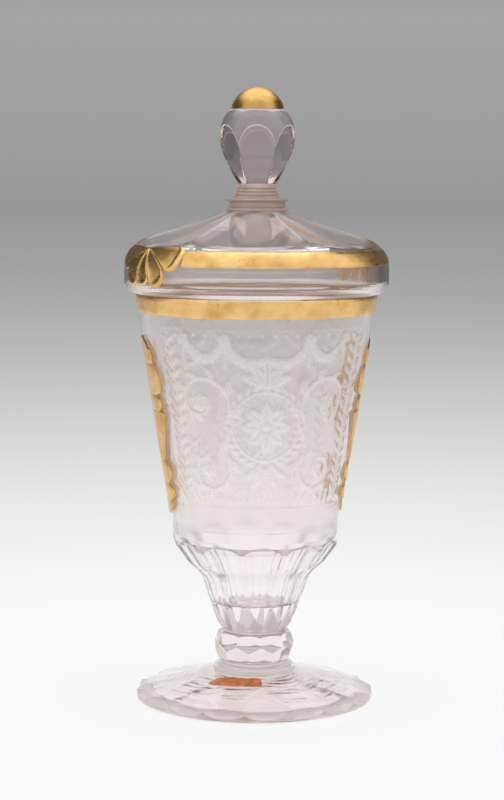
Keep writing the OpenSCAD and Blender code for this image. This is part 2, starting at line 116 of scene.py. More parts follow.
def cut_flat(piece, count, turn, at, slope):
    """Grinds a row of flat facets: each goes through the point at, radius and height, and rises by slope inwards."""
    bpy.context.view_layer.objects.active = piece
    bpy.ops.object.mode_set(mode="EDIT")
    normals = []
    for k in range(count):
        a = math.radians(turn + k * 360 / count)
        out = Vector((math.cos(a), math.sin(a), 0))
        normal = (out * slope[1] + Vector((0, 0, slope[0]))).normalized()
        normals.append(tuple(normal))
        bpy.ops.mesh.select_all(action="SELECT")
        bpy.ops.mesh.bisect(plane_co=out * at[0] * MM + Vector((0, 0, at[1] * MM)), plane_no=normal,
                            use_fill=True, clear_outer=True, threshold=1e-7)
    bpy.ops.object.mode_set(mode="OBJECT")
    return normals


def soften(piece, degrees, flats=()):
    """Smooth shading that keeps edges over an angle crisp, and ground facets flat with a crisp edge round each."""
    deselect()
    piece.select_set(True)
    bpy.context.view_layer.objects.active = piece
    bpy.ops.object.shade_smooth_by_angle(angle=math.radians(degrees))
    if not flats:
        return
    mesh = piece.data
    normals = np.empty(len(mesh.polygons) * 3)
    mesh.polygons.foreach_get("normal", normals)
    match = normals.reshape(-1, 3) @ np.array(flats).T
    facet = np.where(match.max(1) > 0.999998, match.argmax(1), -1)
    sizes = np.empty(len(mesh.polygons), int)
    mesh.polygons.foreach_get("loop_total", sizes)
    edges = np.empty(len(mesh.loops), int)
    mesh.loops.foreach_get("edge_index", edges)
    sides = np.repeat(facet, sizes)
    low, high = np.full(len(mesh.edges), 999), np.full(len(mesh.edges), -999)
    np.minimum.at(low, edges, sides)
    np.maximum.at(high, edges, sides)
    sharp = np.empty(len(mesh.edges), bool)
    mesh.edges.foreach_get("use_edge_sharp", sharp)
    mesh.edges.foreach_set("use_edge_sharp", sharp | (low != high))


def points_of(piece):
    """The piece's points as an array in millimetres."""
    co = np.empty(len(piece.data.vertices) * 3)
    piece.data.vertices.foreach_get("co", co)
    return co.reshape(-1, 3) / MM


def put_points(piece, points):
    piece.data.vertices.foreach_set("co", (points * MM).ravel())
    piece.data.update()


def rows_of(piece, outline, steps):
    """For each point of a turned piece: the number of its point on the outline, its angle, radius and height."""
    p = points_of(piece)
    flat = np.stack([np.hypot(p[:, 0], p[:, 1]), p[:, 2]], 1)
    line = np.array(outline)
    row = np.empty(len(flat), int)
    for i in range(0, len(flat), 4000):
        part = flat[i:i + 4000, None, :] - line[None]
        row[i:i + 4000] = (part ** 2).sum(2).argmin(1)
    angle = np.degrees(np.arctan2(p[:, 1], p[:, 0]))
    return row, np.round(angle / 360 * steps) * 360 / steps, flat[:, 0], flat[:, 1]


def turned_points(r, angle, z):
    a = np.radians(angle)
    return np.stack([r * np.cos(a), r * np.sin(a), z], 1)


def plate(name, across, along):
    """Extrudes a grid to a closed plate. Gives each point's place across and along, -1 to 1, and if it's in front."""
    deselect()
    bpy.ops.mesh.primitive_grid_add(x_subdivisions=across, y_subdivisions=along, size=2)
    piece = bpy.context.object
    piece.name = piece.data.name = name
    bpy.ops.object.mode_set(mode="EDIT")
    bpy.ops.mesh.select_all(action="SELECT")
    bpy.ops.mesh.extrude_region_move(TRANSFORM_OT_translate={"value": (0, 0, 1)})
    bpy.ops.object.mode_set(mode="OBJECT")
    p = points_of(piece) * MM
    return piece, p[:, 0], p[:, 1], p[:, 2] > 0.5


def mark(piece, name, values):
    """Writes a value for each point of a mesh, or one for all, which its material reads."""
    values = np.broadcast_to(values, len(piece.data.vertices)).astype(np.float32)
    piece.data.attributes.new(name, "FLOAT", "POINT").data.foreach_set("value", values)


def finish_piece(piece, node, body, materials, joints=()):
    """Gives a piece its materials, clear where it is fused to its neighbours, and its place in the frame."""
    for m in materials:
        piece.data.materials.append(m)
    for face in piece.data.polygons:
        r, z = math.hypot(face.center.x, face.center.y) / MM, face.center.z / MM
        if abs(face.normal.z) > 0.99 and any(abs(z - jz) < 0.05 and low < r < high for jz, low, high in joints):
            face.material_index = 1
    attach(piece, body)
    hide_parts(node)


# Materials
# Glass tint in depth; a brown for shade painted on glass, mostly along edges; a dark gold for scuffs and for shade
# painted in hollows
GLASS_TINT, PAINTED_GLASS_DARK, GOLD_SCUFF_AND_SHADE = (0.80, 0.64, 0.60, 1), (0.30, 0.21, 0.18, 1), (0.32, 0.17, 0.03, 1)


def fill_ramp(ramp, stops):
    """Gives a ramp its stops: a place from 0 to 1, and a grey or a colour."""
    elements = ramp.color_ramp.elements
    while len(elements) < len(stops):
        elements.new(0.5)
    for element, (place, colour) in zip(elements, stops):
        element.position, element.color = place, [float(v) for v in np.broadcast_to(colour, 3)] + [1.0]


class Finish:
    """A material with its nodes at hand. Patterns lie on the piece's own coordinates."""

    def __init__(self, name):
        self.material = bpy.data.materials.new(name)
        self.material.use_nodes = True
        self.nodes, self.links = self.material.node_tree.nodes, self.material.node_tree.links
        self.shader, self.out = self.nodes["Principled BSDF"], self.nodes["Material Output"]
        self.coords = self.add("TexCoord").outputs["Object"]

    def add(self, kind, **settings):
        node = self.nodes.new("ShaderNode" + kind)
        for key, value in settings.items():
            setattr(node, key, value)
        return node

    def feed(self, node, values):
        """Sets a number or colour on each named socket of a node, or links an output to it."""
        for socket, value in values.items():
            if isinstance(value, bpy.types.NodeSocket):
                self.links.new(value, node.inputs[socket])
            else:
                node.inputs[socket].default_value = value
        return node

    def noise(self, scale, detail=3.0, stretch=None):
        source = self.coords
        if stretch:
            source = self.feed(self.add("Mapping"), {"Vector": source, "Scale": stretch}).outputs["Vector"]
        texture = self.feed(self.add("TexNoise"), {"Vector": source, "Scale": scale, "Detail": detail})
        return texture.outputs["Fac"]

    def spread(self, source, low, high, start=0.0, end=1.0):
        """Takes the range from start to end to the range from low to high."""
        values = {"Value": source, "From Min": start, "From Max": end, "To Min": low, "To Max": high}
        return self.feed(self.add("MapRange"), values).outputs["Result"]

    def maths(self, kind, a, b):
        return self.feed(self.add("Math", operation=kind), {0: a, 1: b}).outputs["Value"]

    def ramp(self, source, stops):
        ramp = self.feed(self.add("ValToRGB"), {"Fac": source})
        fill_ramp(ramp, stops)
        return ramp.outputs["Color"]

    def tinted(self, share, first, second):
        return self.feed(self.add("Mix", data_type="RGBA"), {0: share, 6: first, 7: second}).outputs[2]

    def mixed(self, share, first, second):
        return self.feed(self.add("MixShader"), {0: share, 1: first, 2: second}).outputs["Shader"]

    def marked(self, name):
        return self.add("Attribute", attribute_name=name).outputs["Fac"]

    def clear(self, colour=(1, 1, 1, 1)):
        return self.feed(self.add("BsdfTransparent"), {"Color": colour}).outputs["BSDF"]

    def glow(self, colour):
        return self.feed(self.add("Emission"), {"Color": colour}).outputs["Emission"]

    def bump(self, height, strength, distance):
        node = self.feed(self.add("Bump"), {"Height": height, "Strength": strength, "Distance": distance})
        self.feed(self.shader, {"Normal": node.outputs["Normal"]})

    def show(self, surface, glass_density=None):
        """Gives the material its surface, and a glass its tint in depth."""
        self.feed(self.out, {"Surface": surface})
        if glass_density:
            depth = self.feed(self.add("VolumeAbsorption"), {"Color": GLASS_TINT, "Density": glass_density})
            self.feed(self.out, {"Volume": depth.outputs["Volume"]})
        return self.material


def old_glass(name, colour, haze, density, shine=0.5, rings=0.0):
    """Slightly lilac hand-made glass, waved and worn. Its mesh marks where it is matt and hazy, and where shade is
    painted into its colour, along with one painted reflection on the lid's ledge.
    """
    glass = Finish(name)
    wear = glass.spread(glass.noise(900, 4), 0.0, 0.05, 0.45, 0.8)
    grain = glass.spread(glass.noise(2600), 0.75, 1.25, 0.3, 0.7)
    matt = glass.maths("MULTIPLY", glass.marked("frost"), grain)
    cloud = glass.spread(glass.noise(120), haze * 0.8, haze * 1.2, 0.3, 0.7)
    milky = glass.maths("ADD", cloud, glass.maths("MULTIPLY", matt, 0.14))
    milky = glass.maths("ADD", milky, glass.marked("haze"))
    glass.feed(glass.shader, {
        "IOR": 1.5, "Specular IOR Level": shine,
        # The base colour darkens where the mesh marks painted shade
        "Base Color": glass.tinted(glass.marked("painted_darkening"), (*colour, 1), PAINTED_GLASS_DARK),
        "Roughness": glass.maths("ADD", wear, glass.maths("MULTIPLY", matt, 0.42)),
        "Transmission Weight": glass.maths("SUBTRACT", 1.0, milky)})
    wave = glass.feed(glass.add("TexWave", wave_type="RINGS", rings_direction="Z"), {
        "Vector": glass.coords, "Scale": 48, "Distortion": 14, "Detail": 3, "Detail Scale": 0.8})
    height = glass.maths("MULTIPLY", wave.outputs["Fac"], rings)
    glass.bump(glass.maths("ADD", height, glass.noise(45, 2, (1, 1, 0.5))), 0.03, 0.002)
    shadow = glass.clear((0.985, 0.975, 0.97, 1))
    is_shadow = glass.add("LightPath").outputs["Is Shadow Ray"]
    return glass.show(glass.mixed(is_shadow, glass.shader.outputs["BSDF"], shadow), density)


def fused_joint(name, density):
    """The inside of a joint between two gathers of glass, which light passes unbent."""
    joint = Finish(name)
    joint.nodes.remove(joint.shader)
    return joint.show(joint.clear(), density)


def fired_gold(name):
    """Satin gold with brush marks, uneven in tone, scratched, and brown with painted shade where its mesh marks it.
    """
    gilt = Finish(name)
    cloud, brush = gilt.noise(130, 4), gilt.noise(260, 3, (1, 1, 6))
    tone = gilt.ramp(cloud, [(0.3, (0.72, 0.42, 0.13)), (0.6, (0.93, 0.60, 0.25))])
    scuff = gilt.spread(gilt.noise(1100, 2, (1, 1, 0.3)), 0.0, 0.5, 0.66, 0.74)
    # Darkened by random scuffs, and by painted shade where the mesh marks it
    darkened = gilt.maths("MAXIMUM", gilt.marked("painted_gold_shade"), scuff)
    gilt.feed(gilt.shader, {"Metallic": 1.0, "Base Color": gilt.tinted(darkened, tone, GOLD_SCUFF_AND_SHADE),
                            "Roughness": gilt.spread(brush, 0.24, 0.42, 0.3, 0.7)})
    gilt.bump(gilt.maths("ADD", brush, gilt.maths("MULTIPLY", cloud, 1.5)), 0.15, 0.0006)
    return gilt.material


def lacquer(name):
    """Orange-red lacquer, brushed on unevenly and worn thin in places."""
    coat = Finish(name)
    cloud = coat.noise(480, 5)
    coat.feed(coat.shader, {"Base Color": coat.ramp(cloud, [(0.30, (0.26, 0.11, 0.03)), (0.68, (0.80, 0.20, 0.05))]),
                            "Roughness": coat.spread(cloud, 0.55, 0.3)})
    coat.bump(cloud, 0.3, 0.0006)
    return coat.material


# Each glass: name, colour, haze, depth of tint, and for some how much it shines and how strong its turning marks are
LID_TINT, STEM_TINT = 11, 3
lid_glass = old_glass("lid_glass", (0.985, 0.943, 0.922), 0.02, LID_TINT, shine=0.3)
lid_joint = fused_joint("lid_joint", LID_TINT)
finial_glass = old_glass("finial_glass", (0.975, 0.935, 0.92), 0.01, 18, shine=0.35)
ring_glass = old_glass("ring_glass", (0.97, 0.79, 0.70), 0.38, 8)
bowl_glass = old_glass("engraved_glass", (0.987, 0.950, 0.935), 0, 4)
flute_glass = old_glass("flute_glass", (0.998, 0.985, 0.978), 0, 4)
stem_glass = old_glass("stem_glass", (0.998, 0.975, 0.968), 0.03, STEM_TINT)
stem_joint = fused_joint("stem_joint", STEM_TINT)
foot_glass = old_glass("foot_glass", (0.98, 0.925, 0.912), 0.06, STEM_TINT, rings=0.4)
gold = fired_gold("fired_gold")
red_lacquer = lacquer("red_lacquer")


# Foot: a low cone, ground with nine broad facets above and eighteen lens-shaped ones round its rim
FOOT_R, REST_R, HOLLOW_H = 46.7, 41, 7.7
CONE_LOW_R, CONE_LOW_Z, CONE_TOP_R = 41, 4.7965, 16.9
BEVEL_LOW, BEVEL_TOP, BEVEL_SLOPE, SLOPE_OVER_CONE = 0.9, 3.4, 0.94, 0.695
COLLAR_R, STEM_RING_R, KNOP_R, WAFER_R = 15.8, 14.5, 13.05, 11.9


def cone_z(r):
    """Height of the foot's upper side."""
    return BEVEL_TOP + (FOOT_R - r) * 7.3 / 29.8


def make_foot():
    top, bevel_rows = FOOT_Z + SINK, 6
    outline = [(0, HOLLOW_H)] + bow((2, HOLLOW_H - 0.2), (23, 3.9), (REST_R, 0), 14)
    outline += [(FOOT_R - 0.8, 0)] + arc((FOOT_R - 0.8, 0.8), 0.8, -60, 0, 4)
    first = len(outline)
    outline += [(FOOT_R - 0.6 * i, BEVEL_LOW + 0.56 * i) for i in range(bevel_rows + 1)]
    outline += straight((CONE_LOW_R, CONE_LOW_Z), (CONE_TOP_R, top), 48) + [(COLLAR_R, top), (0, top)]
    foot = turned("foot_glass", outline, 360)
    row, column, r, z = rows_of(foot, outline, 360)
    k = row - first
    bevel, cone = (k >= 0) & (k <= bevel_rows), k > bevel_rows
    # Each lens is deepest in its middle and runs out towards its neighbours
    edge = BEVEL_LOW + 2.3 * ((column % 20 - 10) / 10) ** 2
    wide = (BEVEL_TOP - edge) / SLOPE_OVER_CONE * np.clip(k / bevel_rows, 0, 1)
    r, z = np.where(bevel, FOOT_R - wide, r), np.where(bevel, edge + BEVEL_SLOPE * wide, z)
    # Swirls left in the glass when it was spun, as fine ridges, with brown shade painted along them
    turn = np.radians(column)
    swirl = np.sin(2.4 * r + 2 * np.sin(3 * turn + 0.7) + 1.2 * np.sin(7 * turn))
    swirl *= 0.5 + 0.5 * np.sin(5 * turn + 0.9 * r)
    swirl *= cone * np.clip((CONE_LOW_R - r) / 6, 0, 1) * np.clip((r - CONE_TOP_R) / 2, 0, 1)
    put_points(foot, turned_points(r, column, z + 0.055 * swirl))
    rest = (z < 0.5) & (r > REST_R - 0.5) & (k < 0)
    mark(foot, "haze", np.where(bevel, 0.25, np.where(rest, 0.5, 0)))
    # Painted shade: darker towards the collar and on one side, along the swirls, a little over the bevel and in lines
    # on its two edges
    foot_shade = cone * np.clip((42 - r) / 5, 0, 1) * (0.23 + 0.07 * np.cos(turn - 5)) + 0.45 * np.clip(swirl, 0, 1)
    mark(foot, "painted_darkening", np.where((k == 0) | (k == bevel_rows), 0.3, np.where(bevel, 0.06, foot_shade)))
    flats = cut_flat(foot, 9, 30, (23, cone_z(23)), (23.7, cone_z(23) - 3.0))
    soften(foot, 20, flats)
    finish_piece(foot, "foot", "goblet", [foot_glass, stem_joint], [(FOOT_Z, 0, COLLAR_R)])


def gather(name, node, body, outline, steps, glass, joints, haze=0.0, crisp=40):
    """A turned ring of glass, fused to its neighbours at the joints: height, inner and outer radius."""
    ring = turned(name, outline, steps)
    if haze:
        mark(ring, "haze", haze)
    soften(ring, crisp)
    finish_piece(ring, node, body, [glass, stem_joint if body == "goblet" else lid_joint], joints)


# Rings of the stem, with the fine tooled threads that they carry, and the knop with its two rows of facets
def make_stem():
    z0, z1 = FOOT_Z - SINK, COLLAR_Z + SINK
    outline = [(0, z0), (COLLAR_R, z0)] + arc((15.75, 11.2), 0.55, -80, 60, 6) + arc((15.75, 12.2), 0.5, -50, 80, 6)
    outline += [(STEM_RING_R, z1), (0, z1)]
    gather("foot_collar_glass", "foot_collar", "goblet", outline, 192, stem_glass,
           [(FOOT_Z, 0, COLLAR_R), (COLLAR_Z, 0, STEM_RING_R)], haze=0.35)

    z0, z1 = COLLAR_Z - SINK, RING_Z + SINK
    outline = [(0, z0), (STEM_RING_R, z0)] + arc((14.35, 13.4), 0.65, -80, 70, 7) + [(13.6, 14.15)]
    outline += arc((13.2, 14.75), 0.5, -50, 70, 6) + [(13.0, z1), (0, z1)]
    gather("stem_ring_glass", "stem_ring", "goblet", outline, 192, stem_glass,
           [(COLLAR_Z, 0, STEM_RING_R), (RING_Z, 0, KNOP_R)], haze=0.35)

    z0, z1, mid = RING_Z - SINK, KNOP_Z + SINK, (RING_Z + KNOP_Z) / 2
    turns = [math.radians(a) for a in range(-84, 85, 7)]
    side = [(13.0 + 3.2 * math.cos(a), mid + 5.5 * math.sin(a)) for a in turns]
    knop = turned("knop_glass", [(0, z0), (13.0, z0)] + side + [(13.0, z1), (WAFER_R, z1), (0, z1)], 180)
    flats = cut_flat(knop, 10, 4, (15.4, mid), (1.8, 5.5)) + cut_flat(knop, 10, 22, (15.4, mid), (-1.8, 5.5))
    mark(knop, "frost", 0.2)
    mark(knop, "haze", 0.1)
    soften(knop, 20, flats)
    finish_piece(knop, "stem_knop", "goblet", [stem_glass, stem_joint],
                 [(RING_Z, 0, KNOP_R), (KNOP_Z, 0, WAFER_R)])

    z0, z1 = KNOP_Z - SINK, WAFER_Z + SINK
    outline = [(0, z0), (WAFER_R, z0)] + arc((WAFER_R, 27.0), 0.6, -80, 80, 8) + [(WAFER_R, z1), (0, z1)]
    gather("wafer_glass", "bowl_wafer", "goblet", outline, 192, stem_glass,
           [(KNOP_Z, 0, WAFER_R), (WAFER_Z, 0, WAFER_R)])


# Bowl: twelve small facets round the foot of the bulb, twelve hollow flutes, a shoulder and a leaning wall
FLUTE, COLUMNS = 30, 432
RIDGE = FLUTE / 2 - 2 * 360 / COLUMNS + 0.01
BULB_TURN, BULB_LOW_R, BULB_HEIGHT, SHOULDER_ROUND = 26 * 360 / COLUMNS, 12.1, 6.6, 6
FLUTE_LOW, WAIST = (15.1, 29.6), (20.1, 46.1)
FLUTE_LEAN = math.degrees(math.atan2(WAIST[1] - FLUTE_LOW[1], WAIST[0] - FLUTE_LOW[0]))
SWEEP_C = polar(WAIST, 14, FLUTE_LEAN - 90)
SWEEP_END = polar(SWEEP_C, 14, 128)
SWELL_C = polar(SWEEP_END, 16, 128)
SWELL_END = polar(SWELL_C, 16, -35)
FLUTE_LINE = np.array([polar(FLUTE_LOW, 8, FLUTE_LEAN + 180), FLUTE_LOW]
                      + arc(SWEEP_C, 14, FLUTE_LEAN + 90, 128, 16)
                      + arc(SWELL_C, 16, -52, -35, 8) + [polar(SWELL_END, 14, 55)])
WELL_Z, WELL_SIDE_Z, SHOULDER_FLOOR_Z = 38.2, 41, 66


def flute_line_r(z):
    """Radius of the flutes' edges."""
    return np.interp(z, FLUTE_LINE[:, 1], FLUTE_LINE[:, 0])


def across_flute(angle):
    """Degrees from the middle of a flute."""
    return np.abs((angle + FLUTE / 2) % FLUTE - FLUTE / 2)


def flute_r(z, angle):
    """Radius of the fluted surface: hollow across each flute, with a narrow flat ridge between two."""
    across, half = across_flute(angle), FLUTE / 2
    held, on_ridge = np.minimum(across, RIDGE), across > RIDGE
    hollow = flute_line_r(z) * (1 - 0.035 * (1 - (held / half) ** 2)) / np.cos(np.radians(held))
    flat = np.cos(np.radians(half - RIDGE)) ** on_ridge / np.cos(np.radians((half - across) * on_ridge))
    return hollow * flat


def bulb_r(z, angle):
    """Radius of the facets round the foot of the bulb, which rounds in towards the wafer."""
    across = (angle - BULB_TURN + FLUTE / 2) % FLUTE - FLUTE / 2
    middle = BULB_LOW_R + 3.95 * np.clip((z - WAFER_Z) / BULB_HEIGHT, 0, 2) ** 0.7
    return middle / np.cos(np.radians(across))


def body_r(z):
    """Radius of the shoulder's rounding, the upright stretch and the leaning wall."""
    out = np.sqrt(np.maximum(SHOULDER_ROUND ** 2 - np.clip(SHOULDER_Z - z, 0, 5.9) ** 2, 0))
    upper = np.where(z < WALL_Z, SHOULDER_R, wall_r(z))
    return np.where(z < SHOULDER_Z, SHOULDER_R - SHOULDER_ROUND + out, upper)


def where_equal(one, other, low, high):
    """Height at which two surfaces meet, for every angle."""
    for _ in range(40):
        mid = (low + high) / 2
        under = one(mid) < other(mid)
        low, high = np.where(under, mid, low), np.where(under, high, mid)
    return (low + high) / 2


def make_bowl():
    bulb_rows, flute_rows, shoulder_rows, wall_rows = 8, 40, 12, 128
    z0, z1 = WAFER_Z - SINK, RIM_Z - 0.06
    # Rows of points up the outside, which find their places below, then the rim and the cavity down to its floor
    outside = [(13.2, z0)] + [(14 + i * 0.3, z0 + 0.5 + i) for i in range(bulb_rows + flute_rows)]
    top = outside[-1][1]
    outside += [(30 + i * 0.05, top + 1 + i * 0.5) for i in range(shoulder_rows + wall_rows + 1)]
    inside = bow((12.2, WELL_Z), (14.5, WELL_Z), (14.9, 40.6), 5)[1:]
    inside += [(0.965 * flute_line_r(z) - 2.8, z) for z in np.linspace(42, 61.5, 17)]
    inside += [(29.0, 63.6), (29.5, 65.5)]
    inside += [(29.5 + LEAN * up, WALL_Z + up) for up in (0, 9, 14)]
    inside += [(36, WALL_Z + 6.5 / LEAN), (43.9, z1 - 1.0)]
    outline = [(0, z0), (WAFER_R, z0)] + outside
    rim = [(46.9, z1 - 0.25), (46.4, z1), (44.7, z1), (44.15, z1 - 0.3)]
    outline += rim + inside[::-1] + [(12.2, WELL_Z), (0, WELL_Z)]
    bowl = turned("bowl_glass", outline, COLUMNS)
    row, column, r, z = rows_of(bowl, outline, COLUMNS)

    def between(low, high):
        return np.full(len(r), low), np.full(len(r), high)

    zig = where_equal(lambda z: bulb_r(z, column), lambda z: flute_r(z, column), *between(28.0, 38.0))
    arch = where_equal(lambda z: flute_r(z, column), body_r, *between(55.0, 66.0))
    # Each stretch of rows is spread evenly from the line where it starts to the line where it ends
    k = row - 2
    arch_row = bulb_rows + flute_rows
    wall_row = arch_row + shoulder_rows
    bulb, flute = (k >= 0) & (k < bulb_rows), (k >= bulb_rows) & (k <= arch_row)
    shoulder, wall = (k > arch_row) & (k <= wall_row), (k > wall_row) & (k < len(outside))
    for stretch, start, rows, low, high in (
            (bulb, 0, bulb_rows, z0, zig), (flute, bulb_rows, flute_rows, zig, arch),
            (shoulder, arch_row, shoulder_rows, arch, WALL_Z + 0.5),
            (wall, wall_row, wall_rows, WALL_Z + 0.5, z1 - 0.6)):
        z = np.where(stretch, low + (high - low) * np.clip((k - start) / rows, 0, 1), z)
    r = np.where(bulb, bulb_r(z, column), r)
    r = np.where(flute, flute_r(z, column), r)
    r = np.where(shoulder | wall, body_r(z), r)
    put_points(bowl, turned_points(r, column, z))
    soften(bowl, 9)
    hollow = (k >= len(outside) + len(rim)) & (z < WALL_Z + 10) & (z > 30)
    engrave(bowl, r, column, z, shoulder | wall, bulb, flute, hollow, k == arch_row)
    glasses = [bowl_glass, stem_joint, flute_glass]
    finish_piece(bowl, "bowl", "goblet", glasses, [(WAFER_Z, 0, WAFER_R)])
    for face in bowl.data.polygons:
        if face.material_index == 0 and face.center.z < 62 * MM:
            face.material_index = 2


# Engraving: scrolling foliage on a sheet of fine squares, which is laid on the front and the back of the wall
SHEET_HALF, SHEET_LOW, SHEET_HIGH, FINE = 44, 66, 152, 5


def draw_sheet():
    """Depth of the engraving from 0 to 1. Each touch of the wheel is made on both sides of the middle."""
    sheet = np.zeros(((SHEET_HIGH - SHEET_LOW) * FINE, 2 * SHEET_HALF * FINE))

    def dab(x, z, w, depth=1.0):
        for side in (x, -x):
            row, col, n = (z - SHEET_LOW) * FINE, (side + SHEET_HALF) * FINE, int(w * FINE) + 1
            rows = slice(max(int(row) - n, 0), max(int(row) + n + 1, 0))
            cols = slice(max(int(col) - n, 0), max(int(col) + n + 1, 0))
            part = sheet[rows, cols]
            if part.size:
                y = np.arange(rows.start, rows.start + part.shape[0])[:, None] - row
                x0 = np.arange(cols.start, cols.start + part.shape[1])[None] - col
                near = 1 - (y * y + x0 * x0) / (w * FINE) ** 2
                np.maximum(part, depth * np.sqrt(np.clip(near, 0, 1)), out=part)

    def stroke(points, w0, w1):
        for (x0, z0), (x1, z1), share in zip(points, points[1:], np.linspace(0, 1, len(points) - 1)):
            n = max(1, int(math.hypot(x1 - x0, z1 - z0) / 0.3))
            for i in range(n):
                dab(x0 + (x1 - x0) * i / n, z0 + (z1 - z0) * i / n, w0 + (w1 - w0) * share)

    def leaf(x, z, turn, length, width, bend=0.0):
        """Two swelling strokes with a vein left clear between them."""
        n = max(6, int(length / 0.3))
        for i in range(n + 1):
            t, a = i / n, math.radians(turn + bend * i / n)
            full = width * math.sin(math.pi * min(1, 0.06 + 0.94 * t ** 0.8))
            for side in (-0.52, 0.52):
                dab(x - side * full * math.sin(a), z + side * full * math.cos(a), 0.42 * full + 0.12, 0.9)
            x, z = x + length / n * math.cos(a), z + length / n * math.sin(a)

    def flower(x, z, reach, petals, turn=90.0):
        for k in range(petals):
            a = turn + 360 * k / petals
            leaf(*polar((x, z), 0.26 * reach, a), a, 0.74 * reach, 0.27 * reach * 8 / petals)
        dab(x, z, 0.2 * reach)

    def scroll(c, reach, a0, sweep, leaves):
        """A tendril that winds in to a flower, with leaves along its outside."""
        n = 60
        points = [polar(c, reach * (1 - 0.78 * (i / n) ** 0.9), a0 + sweep * i / n) for i in range(n + 1)]
        stroke(points, 0.75, 0.45)
        for k in range(leaves):
            i = int(n * (0.04 + 0.8 * k / leaves))
            a = a0 + sweep * i / n
            out = 38 if sweep > 0 else -38
            leaf(*points[i], a + out, reach * (0.50 - 0.28 * k / leaves), 1.5 - 0.7 * k / leaves, out * 1.3)
        flower(*c, 0.3 * reach, 6)

    flower(0, 112, 9.5, 8)
    for k in range(24):
        dab(*polar((0, 112), 11.6, 15 * k + 7.5), 0.55)
    stroke([polar((0, 112), 13.2, a) for a in range(-90, 91, 4)], 0.5, 0.5)
    scroll((25.5, 121), 12.5, 215, -400, 8)
    scroll((24, 95), 10.5, 150, 400, 7)
    stroke(bow((13.2, 112), (15.5, 109), (16, 104), 12), 0.7, 0.7)
    for a, length in ((90, 12), (62, 11), (36, 9.5)):
        leaf(*polar((0, 127), 1.2, a), a, length, 1.7, -0.5 * (90 - a))
        leaf(*polar((0, 97), 1.2, -a), -a, length * 0.9, 1.6, 0.5 * (90 - a))
    for p0, p1, p2 in (((0, 137.5), (11, 133), (15, 145)), ((15, 145), (21, 131), (31, 145))):
        curve = bow(p0, p1, p2, 24)
        stroke(curve, 0.45, 0.45)
        for k in range(1, 24, 2):
            a = math.degrees(math.atan2(curve[k + 1][1] - curve[k][1], curve[k + 1][0] - curve[k][0]))
            for out in (35, -35):
                leaf(*curve[k], a + out, 3.0, 0.75)
    for x in (15, 31):
        flower(x, 145, 2.6, 6)
        for k in range(3):
            leaf(x, 142 - 2.6 * k, -90, 3.0, 0.9 - 0.15 * k)
    stroke(bow((37.5, 82), (35.5, 110), (38, 143), 30), 0.5, 0.4)
    for k in range(15):
        x, z = bow((37.5, 83), (35.5, 110), (38, 142), 14)[k]
        leaf(x, z, 55, 5.4, 1.1, -25)
        leaf(x, z + 1.6, 130, 5.0, 1.0, 25)
    for k in range(14):
        leaf(*polar((0, 112), 14.4, 13 * k - 84), 13 * k - 84 + 50, 3.4, 0.75, 20)
    for x in np.arange(0, 44.1, 0.4):
        dab(x, 148.6, 0.4)
        dab(x, 79.5, 0.35, 0.7)
        dab(x, 77.6 + 0.5 * math.sin(0.16 * x), 0.3, 0.7)
    for k in range(12):
        dab(2 + 4 * k, 146.9, 0.5)
    for k in range(7):
        stroke(bow((2 * k, 82.5), (2 * k + 1.5, 85), (2 * k + 1.5 - 3, 88), 8), 0.3, 0.3)
        leaf(14 + 3.4 * k, 81.5, 60, 4.6, 0.9, 25)
    return sheet


def engrave(bowl, r, angle, z, outer, bulb, flute, hollow, arch_line):
    """Cuts the design into the wall, and marks on the mesh where the glass is matt and hazy, and where shade is
    painted on it.
    """
    sheet = draw_sheet()
    along = 40 * np.radians(angle % 180 - 90)
    row, col = (z - SHEET_LOW) * FINE, (along + SHEET_HALF) * FINE
    i, j = np.clip(row.astype(int), 0, sheet.shape[0] - 2), np.clip(col.astype(int), 0, sheet.shape[1] - 2)
    y, x = np.clip(row - i, 0, 1), np.clip(col - j, 0, 1)
    depth = ((sheet[i, j] * (1 - x) + sheet[i, j + 1] * x) * (1 - y)
             + (sheet[i + 1, j] * (1 - x) + sheet[i + 1, j + 1] * x) * y)
    depth *= outer & (z > SHEET_LOW + 1) & (z < SHEET_HIGH - 2) & (np.abs(along) < 43)
    frost = np.where(outer, 0.25, 0.0) + 0.6 * depth
    haze = 0.16 * depth + np.where(outer, 0.1 * np.clip((78 - z) / 5, 0, 1), 0)
    frost[bulb], haze[bulb] = 0.4, 0.2
    across = across_flute(angle)
    haze[flute] = np.where(across[flute] > 14, 0.06, 0.01)
    deep = z[hollow]
    haze[hollow] = np.where((deep < WELL_SIDE_Z) | (deep > SHOULDER_FLOOR_Z), 0.03, 0.05)
    frost[hollow] = np.where(deep < WELL_SIDE_Z, 0, np.where(deep < 64, 0.18, 0.4))
    ridge = flute & (np.abs(across - RIDGE) < 0.1)
    mark(bowl, "frost", frost)
    mark(bowl, "haze", haze)
    # Painted shade: dark lines along the flutes' arch and ridges, and the bulb's facets darkened
    mark(bowl, "painted_darkening", np.where(arch_line | bulb, 0.5, 0.2 * ridge))
    put_points(bowl, turned_points(r - 0.24 * depth, angle, z))


# Lid: rolled edge, shoulder and a dome ground with six hollow petals
EDGE_C, EDGE_ROUND = (46.6, 165.0), 5
LID_C, LID_ROUND = (39.1, 169.5), 12.5
LID_BODY = np.array(arc(LID_C, LID_ROUND, 0, 66, 40) + [(35.5, 183.75), (12.5, 192.3)])
LID_LENGTH = np.append(0, np.cumsum(np.hypot(*np.diff(LID_BODY, axis=0).T)))
LID_MOUTH_R, LID_SEAT_R = 40.6, 43.6
BOSS_R, DISC_R, NECK_R, FINIAL_LOW_R, CAP_R = 12.1, 11.1, 8.7, 7.2, 10.1


def lid_body(at):
    """Radius and height at a length along the lid's rounded body."""
    return np.interp(at, LID_LENGTH, LID_BODY[:, 0]), np.interp(at, LID_LENGTH, LID_BODY[:, 1])


def petal_z(d):
    """Height of a petal's hollow-ground face at a distance out along its middle."""
    return 198.41 - 0.5903 * d + 0.003638 * d * d


